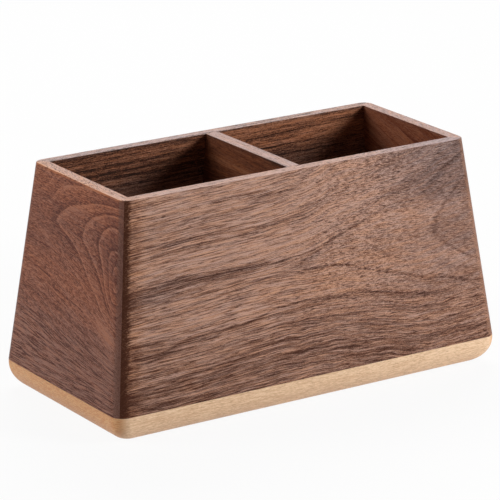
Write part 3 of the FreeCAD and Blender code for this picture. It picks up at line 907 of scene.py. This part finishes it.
def board_profile(sizes):
    """The section of a wall: distances in from the foot's edge, heights and corner radii."""
    foot, rim = sizes.base_top, sizes.rim_level
    lean, level_wall = leaning(sizes)

    def corner(height, inset=0.0):
        upward = (height - foot) / (rim - foot)
        return sizes.foot_round + (sizes.rim_round - sizes.foot_round) * upward - inset

    ease, rounded, eased = sizes.seam_ease, sizes.rim_ease, sizes.inner_ease
    rows = [(ease, foot, corner(foot, ease)),
            (ease * lean, foot + ease, corner(foot + ease))]
    centre = (rim - rounded - foot) * lean + rounded / math.cos(sizes.splay)
    for turn in angles(sizes.splay, math.pi / 2, RIM_STEPS):
        height = rim - rounded * (1 - math.sin(turn))
        inset = centre - rounded * math.cos(turn)
        rows.append((inset, height, corner(height, inset - (height - foot) * lean)))
    centre = (rim - eased - foot) * lean + level_wall - eased / math.cos(sizes.splay)
    for turn in angles(math.pi / 2, -sizes.splay, INNER_STEPS):
        rows.append((centre + eased * math.cos(turn), rim - eased * (1 - math.sin(turn)), 0.0))
    rows.append((level_wall, foot, 0.0))
    return rows


def wall_shape(sizes, run, reach):
    """One mitred wall, drawn as a front wall."""
    profile = board_profile(sizes)
    left = [[(inset - run / 2 + radius * (1 + math.cos(turn)),
              inset - reach + radius * (1 + math.sin(turn)), height)
             for inset, height, radius in profile]
            for turn in angles(math.radians(225), math.radians(270), CORNER_STEPS)]
    right = [[(-x, y, z) for x, y, z in row] for row in reversed(left)]
    return stitch(left + right)


def tongue_cutters(sizes, run, reach):
    """Blocks that cut the tongue grooves in both ends of a wall."""
    lean, level_wall = leaning(sizes)
    corner_lean = math.atan(math.sqrt(2) * lean)
    gap, stop = sizes.glue_gap, sizes.tongue_stop
    out = sizes.tongue_inset / math.sqrt(2) - level_wall - stop * lean
    tall = (sizes.rim_level - sizes.base_top - 2 * stop) / math.cos(corner_lean)
    x, y = sizes.tongue_bite + gap, sizes.tongue / 2 + gap
    outline = ((-x, -y), (x, -y), (x, y), (-x, y))
    cutters = []
    for side in (-1, 1):
        shape = stitch([[(*corner, height) for corner in outline]
                        for height in (-gap, tall + gap)])
        spot = Vector((side * (run / 2 + out), -reach - out, sizes.base_top + stop))
        shape.transform(Matrix.Translation(spot)
                        @ Matrix.Rotation(side * math.pi / 4, 4, "Z")
                        @ Matrix.Rotation(-corner_lean, 4, "X"))
        cutters.append(to_object("cutter", shape))
    return cutters


def housing_cutter(sizes, reach, middle):
    """The block that cuts the divider's housing in a long wall."""
    lean, level_wall = leaning(sizes)
    inner = -reach + level_wall - sizes.housing_depth
    foot, top = sizes.base_top, sizes.rim_level - sizes.housing_stop
    below, inside = 0.005, -reach + 0.03
    section = ((inner - below * lean, foot - below), (inner + (top - foot) * lean, top),
               (inside, top), (inside, foot - below))
    return to_object("cutter", slab(section, middle, sizes.divider / 2 + sizes.glue_gap))


def base_shape(sizes):
    """The base plate: rounded underneath, with the raised land on top."""
    lean, level_wall = leaning(sizes)
    top, ease = sizes.base_top, sizes.seam_ease
    rows = []
    for turn in angles(math.pi / 2, 0, BASE_STEPS):
        shrink = 1 - math.cos(turn)
        rows.append((sizes.base_round * shrink, sizes.base_round * (1 - math.sin(turn)),
                     sizes.foot_round - (sizes.foot_round - sizes.under_round) * shrink))
    land = level_wall + sizes.land_gap
    rows += [(0.0, top - ease, sizes.foot_round), (ease, top, sizes.foot_round - ease),
             (land, top, 0.0), (land + (sizes.land_level - top) * lean, sizes.land_level, 0.0)]
    quarters = ((-1, -1, 180), (1, -1, 270), (1, 1, 360), (-1, 1, 450))
    return stitch([[
        (side * (sizes.foot_length / 2 - inset - radius) + radius * math.cos(turn),
         end * (sizes.foot_depth / 2 - inset - radius) + radius * math.sin(turn), height)
        for side, end, start in quarters
        for turn in angles(math.radians(start), math.radians(start + 90), CORNER_STEPS)]
        for inset, height, radius in rows])


def screw_places(sizes):
    """The two screws' places in plan."""
    return [(sizes.divider_shift, side * sizes.screw_spacing / 2) for side in (-1, 1)]


def hole_cutter(sizes, centre):
    """The countersunk hole of one screw, cut from below."""
    hole = sizes.screw_shank / 2 + sizes.hole_gap
    wide = sizes.screw_head / 2 + sizes.head_sink + sizes.hole_gap
    return to_object("cutter", turned(
        [(wide + PAST, -PAST), (wide, 0.0), (hole, wide - hole),
         (hole, sizes.land_level + PAST)], centre))


def divider_shape(sizes):
    """The divider: its ends step out into the housings and stop short of the rim."""
    lean, level_wall = leaning(sizes)
    foot, inner = sizes.base_top, sizes.foot_depth / 2 - level_wall
    step_level = sizes.rim_level - sizes.housing_stop - sizes.glue_gap
    out = sizes.housing_depth - sizes.glue_gap

    def inside(height):
        return inner - (height - foot) * lean

    right = [(inside(sizes.land_level) + out, sizes.land_level),
             (inside(step_level) + out, step_level), (inside(step_level), step_level),
             (inside(sizes.rim_level), sizes.rim_level)]
    section = right + [(-y, z) for y, z in reversed(right)]
    shape = slab(section, sizes.divider_shift, sizes.divider / 2)
    near = 1e-6
    long_rims = [edge for edge in shape.edges
                 if all(abs(v.co.z - sizes.rim_level) < near for v in edge.verts)
                 and abs(edge.verts[0].co.x - edge.verts[1].co.x) < near]
    bmesh.ops.bevel(shape, geom=long_rims, offset=sizes.inner_ease, segments=4, profile=0.5,
                    affect="EDGES", clamp_overlap=True)
    clean(shape)
    return shape


# Operators.


class StandOperator:
    """What the operators share."""

    bl_options = {"REGISTER", "UNDO"}

    def need(self, *nodes):
        """Stop if the frame lacks a node that a piece stands for."""
        for node in nodes:
            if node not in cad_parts:
                raise RuntimeError(f"the frame has no node named {node}")


# The share of a board's colour that is lost where its fibres are cut across, at ends that
# the photograph doesn't show.
PLAIN_END = 0.6


def wood_colours(look, board):
    """A board's three colours and the two of its rim."""
    return [getattr(look, f"{board}_{kind}") for kind in ("pale", "middle", "deep")] + [
        look.rim_sheen_pale, look.rim_sheen_middle]


class PENSTAND_OT_walls(StandOperator, Operator):
    """Build the four mitred walnut walls"""

    bl_idname = "pen_stand.walls"
    bl_label = "Walls"

    def execute(self, context):
        sizes, look = context.scene.pen_stand_sizes, context.scene.pen_stand_wood
        along, across = sizes.foot_length, sizes.foot_depth
        shift = sizes.divider_shift
        # Name, length at the foot, distance of the foot's edge from the middle, turn from
        # the front in degrees, housing's place, colours, figure and place in the noise.
        walls = (
            ("front_wall", along, across / 2, 0, shift, "front", front_figure, 1),
            ("right_end_wall", across, along / 2, 90, None, "end",
             end_figure(tilt=0.33, bend=3.0, tone=0.72, warmth=0.5), 2),
            ("back_wall", along, across / 2, 180, -shift, "back", back_figure, 3),
            ("left_end_wall", across, along / 2, -90, None, "end", left_figure, 4),
        )
        plain_ends = ((PLAIN_END, look.end_grain),) * 2
        # The ends that are seen, as walnut_material takes them.
        # The front board's left end loses more colour than plain end grain: partly cut end
        # grain, partly painted shade in the corner between the lamps.
        ends = {"front_wall": ((1.1, look.end_grain), (0.35, look.end_grain_painted_lit)),
                "left_end_wall": ((0.7, look.end_grain_painted_sheen), (0.5, look.end_grain))}
        for name, run, reach, turn, housing, board, figure, seed in walls:
            self.need(name)
            piece = to_object(f"{name}_board", wall_shape(sizes, run, reach))
            cutters = tongue_cutters(sizes, run, reach)
            if housing is not None:
                cutters.append(housing_cutter(sizes, reach, housing))
            cut(piece, cutters)
            piece.data.transform(Matrix.Rotation(math.radians(turn), 4, "Z"))
            fibre = (1, 0, 0) if turn in (0, 180) else (0, 1, 0)
            material = walnut_material(
                f"walnut_{name}", figure, fibre, wood_colours(look, board), seed,
                ends.get(name, plain_ends))
            finish_piece(piece, material, name)
        return {"FINISHED"}


class PENSTAND_OT_divider(StandOperator, Operator):
    """Build the walnut divider"""

    bl_idname = "pen_stand.divider"
    bl_label = "Divider"

    def execute(self, context):
        sizes, look = context.scene.pen_stand_sizes, context.scene.pen_stand_wood
        self.need("divider")
        piece = to_object("divider_board", divider_shape(sizes))
        radius = sizes.screw_shank / 2 + sizes.hole_gap
        top = sizes.head_sink + sizes.screw_length + sizes.hole_gap
        cut(piece, [to_object("cutter", turned(
            [(radius, sizes.land_level - PAST), (radius, top)], centre))
            for centre in screw_places(sizes)])
        figure = end_figure(tilt=0.03, bend=3.0, tone=0.44, warmth=0.4, ribbon=0.3)
        material = walnut_material(
            "walnut_divider", figure, (0, 1, 0), wood_colours(look, "divider"), 5,
            ((PLAIN_END, look.end_grain),) * 2)
        finish_piece(piece, material, "divider")
        return {"FINISHED"}


def beech_material(look):
    """Close-grained beech with fine flecks, darker where the fibres are cut across."""
    material, tree, shader = new_material("beech_base")
    place = place_group(tree, wood_place_group(), Fibre=(1, 0, 0))
    x, y, z = place["X"], place["Y"], place["Z"]
    wander = (noise(tree, x / 40, y / 20, z / 20) - 0.5) * 3
    growth = y * 0.5 + z + wander
    ground = noise(tree, x / 60, growth / 5, y / 20)
    slant = x + z * 1.2
    streak = noise(tree, slant / 7, growth / 0.5, y / 2, 3.0, 0.65).spread()
    speck = noise(tree, slant / 1.6, z / 0.4, y / 3, 2.0, 0.7).spread()
    fleck = noise(tree, slant / 2, z / 0.35, y / 2, 1.0, 0.5).rise(0.56, 0.70)
    # Lighter towards the right: painted light from the lamp at the right.
    body = mix(tree, (ground * 0.4 + streak * 1.1 + speck * 0.9 + x.rise(-60.0, 90.0) * 0.3
                      + 0.2).clamped(), look.beech_middle, look.beech_pale)
    # Warmer where the fibres are cut across, most so low down on the rounding.
    end = place["End grain"].rise(0.18, 0.8)
    low = z.rise(11.0, 3.0) * 0.5 + 0.4
    cut_tint = mix(tree, (low + speck * 2.2 + streak * 1.4).clamped(), look.beech_pink,
                   look.beech_end)
    body = mix(tree, end * 0.9, body, cut_tint)
    # Warmer towards the bottom: painted bounce light from the floor.
    body = warm(tree, body, z.rise(7.0, 1.0) * 0.7)
    # Flecks, and a thin darker line along the lowest edge: a painted contact shadow.
    body = mix(tree, (fleck * 0.45 + z.bell(0.8, 0.45) * 0.9).clamped(), body,
               look.beech_fleck_and_shadow)
    feed(tree, body, shader.inputs["Base Color"])
    feed(tree, 0.46 + streak * 0.08, shader.inputs["Roughness"])
    bump(tree, shader, streak - fleck * 0.5, 0.15)
    return material


class PENSTAND_OT_base(StandOperator, Operator):
    """Build the beech base plate with its raised land and screw holes"""

    bl_idname = "pen_stand.base"
    bl_label = "Base plate"

    def execute(self, context):
        sizes, look = context.scene.pen_stand_sizes, context.scene.pen_stand_wood
        self.need("base_plate")
        piece = to_object("base_plate_board", base_shape(sizes))
        cut(piece, [hole_cutter(sizes, centre) for centre in screw_places(sizes)])
        finish_piece(piece, beech_material(look), "base_plate")
        return {"FINISHED"}


def recess_cutter(sizes, centre):
    """The tapering cross recess of a screw head, cut from below."""
    arm, width, deep, over = 0.0017, 0.00045, 0.0018, 0.0003
    plus = [(arm, -width), (arm, width), (width, width), (width, arm), (-width, arm),
            (-width, width), (-arm, width), (-arm, -width), (-width, -width),
            (-width, -arm), (width, -arm), (width, -width)]
    low = sizes.head_sink
    return to_object("cutter", stitch(
        [[(centre[0] + x * size, centre[1] + y * size, height) for x, y in plus]
         for height, size in ((low - over, 1.1), (low + deep, 0.45))]))


def steel_material(look):
    """Zinc plated steel with a fine turned grain."""
    material, tree, shader = new_material("zinc_screw")
    place = place_group(tree, wood_place_group(), Fibre=(0, 0, 1))
    x, y, z = place["X"], place["Y"], place["Z"]
    grain = noise(tree, x * 2, y * 2, z * 6)
    tint = mix(tree, grain, look.steel, [c * 0.8 for c in look.steel])
    feed(tree, tint, shader.inputs["Base Color"])
    feed(tree, 0.28 + grain * 0.15, shader.inputs["Roughness"])
    shader.inputs["Metallic"].default_value = 1.0
    return material


class PENSTAND_OT_screws(StandOperator, Operator):
    """Build the two countersunk base screws"""

    bl_idname = "pen_stand.screws"
    bl_label = "Base screws"

    def execute(self, context):
        sizes, look = context.scene.pen_stand_sizes, context.scene.pen_stand_wood
        self.need("base_screws")
        head, shank = sizes.screw_head / 2, sizes.screw_shank / 2
        low, tall = sizes.head_sink, sizes.screw_length
        profile = [(head, low), (shank, low + head - shank),
                   (shank, low + tall - sizes.screw_point), (0.0, low + tall)]
        both = bmesh.new()
        for centre in screw_places(sizes):
            one = to_object("screw", turned(profile, centre))
            cut(one, [recess_cutter(sizes, centre)])
            both.from_mesh(one.data)
            drop(one)
        piece = to_object("base_screws_pair", both)
        finish_piece(piece, steel_material(look), "base_screws")
        return {"FINISHED"}


class PENSTAND_OT_tongues(StandOperator, Operator):
    """Give the hidden loose tongues their plywood"""

    bl_idname = "pen_stand.tongues"
    bl_label = "Loose tongues"

    def execute(self, context):
        look = context.scene.pen_stand_wood
        tongues = [f"tongue_{corner}" for corner in (
            "front_left", "front_right", "back_right", "back_left")]
        self.need(*tongues)
        material, tree, shader = new_material("ply_tongue")
        place = place_group(tree, wood_place_group(), Fibre=(0, 0, 1))
        layers = (place["X"] + place["Y"]).maths("SINE").rise(-0.2, 0.2)
        speck = noise(tree, place["X"] * 2, place["Y"] * 2, place["Z"] / 6, 3.0)
        body = mix(tree, layers * 0.6 + speck * 0.4, look.ply_deep, look.ply_pale)
        feed(tree, body, shader.inputs["Base Color"])
        feed(tree, 0.6 + speck * 0.1, shader.inputs["Roughness"])
        for name in tongues:
            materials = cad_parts[name].data.materials
            materials.clear()
            materials.append(material)
        return {"FINISHED"}


# The soft lamps: place, width and height, in metres. All are turned to LAMP_AIM.
LAMPS = {"lamp_right": ((0.534, -0.822, 0.36), 0.3, 0.26),
         "lamp_left": ((-1.148, 0.418, 0.515), 0.7, 0.5),
         "lamp_back": ((0.44, 0.74, 1.0), 0.8, 0.8)}
LAMP_AIM = Vector((0.0, 0.0, 0.07))
# The share of the floor's look that is plain white; the rest keeps its shadow. Its side is
# in metres.
FLOOR_GLOW, FLOOR_SIDE = 0.92, 16
SENSOR_WIDTH = 36  # Millimetres.


def soft_lamp(name, place, width, height, watts):
    """Hang a soft lamp and turn it to what it lights."""
    lamp = bpy.data.lights.new(name, "AREA")
    lamp.energy, lamp.shape = watts, "RECTANGLE"
    lamp.size, lamp.size_y = width, height
    made = bpy.data.objects.new(name, lamp)
    made.location = place
    made.rotation_euler = (LAMP_AIM - Vector(place)).to_track_quat("-Z", "Y").to_euler()
    bpy.context.scene.collection.objects.link(made)


def seen_plainly(tree):
    """One where a surface is seen by the camera, or in gloss or glass."""
    path = tree.nodes.new("ShaderNodeLightPath")
    rays = [Wire(tree, path.outputs[f"Is {kind} Ray"])
            for kind in ("Camera", "Glossy", "Transmission")]
    return rays[0].at_least(rays[1]).at_least(rays[2])


class PENSTAND_OT_stage(StandOperator, Operator):
    """Set up the floor, the white surround, the soft lamps and the camera"""

    bl_idname = "pen_stand.stage"
    bl_label = "Stage"

    def execute(self, context):
        look = context.scene.pen_stand_stage
        self.make_world(context, look)
        self.make_floor(look)
        for name, lamp in LAMPS.items():
            soft_lamp(name, *lamp, getattr(look, name))
        self.make_camera(context, look)
        return {"FINISHED"}

    def make_world(self, context, look):
        """White to the camera and in gloss, a plain grey light otherwise."""
        world = bpy.data.worlds.new("studio")
        context.scene.world = world
        world.use_nodes = True
        tree = world.node_tree
        background = tree.nodes["Background"]
        background.inputs["Color"].default_value = (1, 1, 1, 1)
        seen = seen_plainly(tree)
        feed(tree, seen * (1 - look.room) + look.room, background.inputs["Strength"])

    def make_floor(self, look):
        """A wide pale floor that keeps a faint shadow."""
        shape = bmesh.new()
        bmesh.ops.create_grid(shape, x_segments=8, y_segments=8, size=FLOOR_SIDE / 2)
        floor = to_object("floor", shape)
        material, tree, shader = new_material("pale_floor")
        shader.inputs["Base Color"].default_value = (*look.floor, 1)
        shader.inputs["Roughness"].default_value = 0.9
        shader.inputs["Specular IOR Level"].default_value = 0.0
        glow = tree.nodes.new("ShaderNodeEmission")
        glow.inputs["Color"].default_value = (1, 1, 1, 1)
        both = tree.nodes.new("ShaderNodeMixShader")
        feed(tree, seen_plainly(tree) * FLOOR_GLOW, both.inputs[0])
        tree.links.new(shader.outputs[0], both.inputs[1])
        tree.links.new(glow.outputs[0], both.inputs[2])
        tree.links.new(both.outputs[0], tree.nodes["Material Output"].inputs["Surface"])
        floor.data.materials.append(material)

    def make_camera(self, context, look):
        """The camera at the photograph's place."""
        # Towards the camera, then to its right and upwards, level and then rolled.
        east, up = look.azimuth, look.elevation
        back = Vector((math.sin(east) * math.cos(up), -math.cos(east) * math.cos(up),
                       math.sin(up)))
        right = Vector((math.cos(east), math.sin(east), 0))
        over = back.cross(right)
        across = right * math.cos(look.roll) + over * math.sin(look.roll)
        upwards = over * math.cos(look.roll) - right * math.sin(look.roll)
        data = bpy.data.cameras.new("camera")
        data.sensor_width = SENSOR_WIDTH
        data.lens = look.focal * SENSOR_WIDTH / PHOTO_WIDTH
        camera = bpy.data.objects.new("camera", data)
        camera.matrix_world = Matrix.Translation(
            Vector(look.aim) + back * look.distance) @ Matrix(
            (across, upwards, back)).transposed().to_4x4()
        context.scene.collection.objects.link(camera)
        context.scene.camera = camera
        context.scene.view_settings.view_transform = "Standard"


OPERATORS = (PENSTAND_OT_walls, PENSTAND_OT_divider, PENSTAND_OT_base, PENSTAND_OT_screws,
             PENSTAND_OT_tongues, PENSTAND_OT_stage)


class PENSTAND_PT_panel(Panel):
    """List the stand's building steps, sizes and colours"""

    bl_idname = "PENSTAND_PT_panel"
    bl_label = "Pen stand"
    bl_space_type = "VIEW_3D"
    bl_region_type = "UI"
    bl_category = "Pen stand"

    def draw(self, context):
        for operator in OPERATORS:
            self.layout.operator(operator.bl_idname)
        for pointer, group in GROUPS.items():
            box = self.layout.box()
            for name in group.__annotations__:
                box.prop(getattr(context.scene, pointer), name)


CLASSES = (*GROUPS.values(), *OPERATORS, PENSTAND_PT_panel)


def register():
    for item in CLASSES:
        bpy.utils.register_class(item)
    for pointer, group in GROUPS.items():
        setattr(bpy.types.Scene, pointer, PointerProperty(type=group))


def unregister():
    for pointer in GROUPS:
        delattr(bpy.types.Scene, pointer)
    for item in reversed(CLASSES):
        bpy.utils.unregister_class(item)


def main():
    """Build everything in order."""
    register()
    bpy.ops.pen_stand.stage()
    bpy.ops.pen_stand.walls()
    bpy.ops.pen_stand.divider()
    bpy.ops.pen_stand.base()
    bpy.ops.pen_stand.screws()
    bpy.ops.pen_stand.tongues()


if __name__ == "__main__":
    main()
